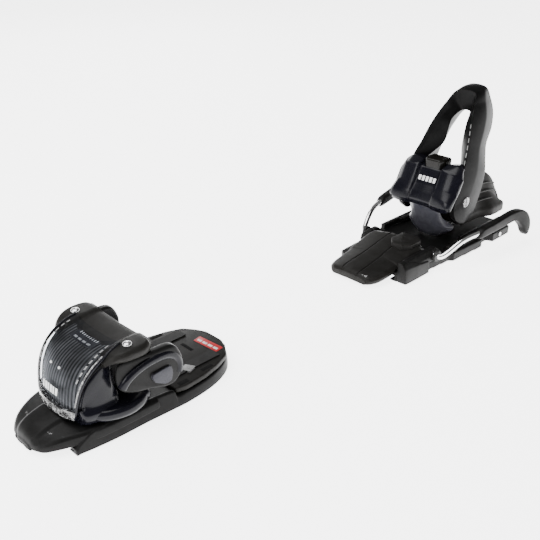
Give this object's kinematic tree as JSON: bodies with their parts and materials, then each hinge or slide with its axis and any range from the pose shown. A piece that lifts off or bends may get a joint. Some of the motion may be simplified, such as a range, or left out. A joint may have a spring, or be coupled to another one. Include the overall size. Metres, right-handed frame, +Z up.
{
  "type": "alpine ski binding",
  "caption": "Step-in alpine ski binding in two units: a toe piece with swinging wings and sliding sole plate, and a heel piece with lever, cup, treadle and ski brake.",
  "frame": {"origin": "on the ski's top face, in the middle of the overall length and width", "axes": "+X towards the ski tip, +Y to the skier's left, +Z up from the ski"},
  "size_m": [0.5087, 0.142, 0.14],
  "materials": {
    "black_shell": "fine grain black moulding",
    "gloss_shell": "satin blue-black moulding",
    "weave_insert": "striped dark weave under lacquer",
    "clear_cover": "clear polycarbonate",
    "scale_print": "printed strip",
    "bright_steel": "nickel plated",
    "red_plastic": "red moulding",
    "spring_steel": "oiled spring steel",
    "low_friction": "waxy low friction plastic",
    "pedal_plastic": "warm black moulding",
    "chrome_wire": "polished wire",
    "treadle_plastic": "dark grey satin moulding",
    "badge_plate": "plain grey inlay"
  },
  "bodies": {
    "base": {"toe_base": "black_shell", "toe_housing": "gloss_shell", "toe_cover": "weave_insert", "toe_hood": "clear_cover", "toe_scale": "scale_print", "toe_spring": "spring_steel", "toe_plunger": "bright_steel", "wing_pivot_pins": "bright_steel", "toe_side_screws": "bright_steel", "nose_screws": "bright_steel", "afd_screw": "bright_steel", "heel_track": "black_shell", "brake_carrier": "black_shell", "brake_springs": "spring_steel", "track_rivets": "bright_steel"},
    "wing_left": {"wing_left": "gloss_shell", "wing_pad_left": "low_friction"},
    "wing_right": {"wing_right": "gloss_shell", "wing_pad_right": "low_friction"},
    "sole_plate": {"afd_plate": "black_shell", "afd_pads": "low_friction"},
    "toe_screw": {"toe_release_screw": "bright_steel"},
    "toe_nut": {"toe_spring_nut": "red_plastic"},
    "adjuster": {"adjust_block": "bright_steel", "pressure_springs": "spring_steel"},
    "length_screw": {"length_screw": "bright_steel"},
    "carriage": {"heel_housing": "black_shell", "heel_window": "clear_cover", "heel_scale": "scale_print", "heel_spring": "spring_steel", "heel_plunger": "bright_steel", "heel_axle": "bright_steel", "axle_screws": "bright_steel"},
    "heel_screw": {"heel_release_screw": "bright_steel"},
    "heel_nut": {"heel_spring_nut": "red_plastic"},
    "lever": {"heel_lever": "black_shell"},
    "cup": {"heel_cup": "gloss_shell", "treadle": "treadle_plastic", "cup_badge": "badge_plate", "cup_cap": "gloss_shell"},
    "brake": {"brake_pedal": "pedal_plastic", "brake_wire": "chrome_wire", "brake_foot_left": "black_shell", "brake_foot_right": "black_shell", "brake_collars": "low_friction"}
  },
  "joints": [
    {"name": "wing_left_swing", "type": "hinge", "parent": "base", "child": "wing_left", "pos_m": [0.195, 0.027, 0.037], "axis": [0, 0, -1], "range_deg": [0, 25], "stiffness_Nm_per_rad": 6, "springref_deg": -1.15},
    {"name": "wing_right_swing", "type": "hinge", "parent": "base", "child": "wing_right", "pos_m": [0.195, -0.027, 0.037], "axis": [0, 0, 1], "range_deg": [0, 25], "stiffness_Nm_per_rad": 6, "springref_deg": -1.15},
    {"name": "sole_plate_glide", "type": "slide", "parent": "base", "child": "sole_plate", "axis": [0, 1, 0], "range_m": [-0.008, 0.008], "stiffness_N_per_m": 400},
    {"name": "toe_screw_turn", "type": "hinge", "parent": "base", "child": "toe_screw", "pos_m": [0.215, 0, 0.027], "axis": [1, 0, 0], "range_deg": [-720, 720]},
    {"name": "toe_nut_travel", "type": "slide", "parent": "base", "child": "toe_nut", "axis": [1, 0, 0], "range_m": [-0.0029, 0.0029]},
    {"name": "adjuster_travel", "type": "slide", "parent": "base", "child": "adjuster", "axis": [1, 0, 0], "range_m": [-0.0058, 0.0058]},
    {"name": "length_screw_turn", "type": "hinge", "parent": "adjuster", "child": "length_screw", "pos_m": [-0.217, 0, 0.0145], "axis": [1, 0, 0], "range_deg": [-720, 720]},
    {"name": "forward_pressure", "type": "slide", "parent": "adjuster", "child": "carriage", "axis": [1, 0, 0], "range_m": [-0.005, 0], "stiffness_N_per_m": 6000, "springref_m": 0.003},
    {"name": "lever_open", "type": "hinge", "parent": "carriage", "child": "lever", "pos_m": [-0.177, 0, 0.047], "axis": [0, -1, 0], "range_deg": [0, 38]},
    {"name": "cup_open", "type": "hinge", "parent": "carriage", "child": "cup", "pos_m": [-0.177, 0, 0.047], "axis": [0, -1, 0], "range_deg": [0, 34]},
    {"name": "heel_screw_turn", "type": "hinge", "parent": "carriage", "child": "heel_screw", "pos_m": [-0.247, 0, 0.038], "axis": [1, 0, 0], "range_deg": [-720, 720]},
    {"name": "heel_nut_travel", "type": "slide", "parent": "carriage", "child": "heel_nut", "axis": [1, 0, 0], "range_m": [-0.0039, 0.0039]},
    {"name": "brake_swing", "type": "hinge", "parent": "base", "child": "brake", "pos_m": [-0.125, 0, 0.0125], "axis": [0, -1, 0], "range_deg": [0, 60]}
  ],
  "couplings": [
    {"joint": "toe_screw_turn", "follows": "toe_nut_travel", "rad_per_m": 4200},
    {"joint": "length_screw_turn", "follows": "adjuster_travel", "rad_per_m": 2094.4},
    {"joint": "cup_open", "follows": "lever_open", "ratio": 0.85},
    {"joint": "heel_screw_turn", "follows": "heel_nut_travel", "rad_per_m": 3141.6}
  ]
}
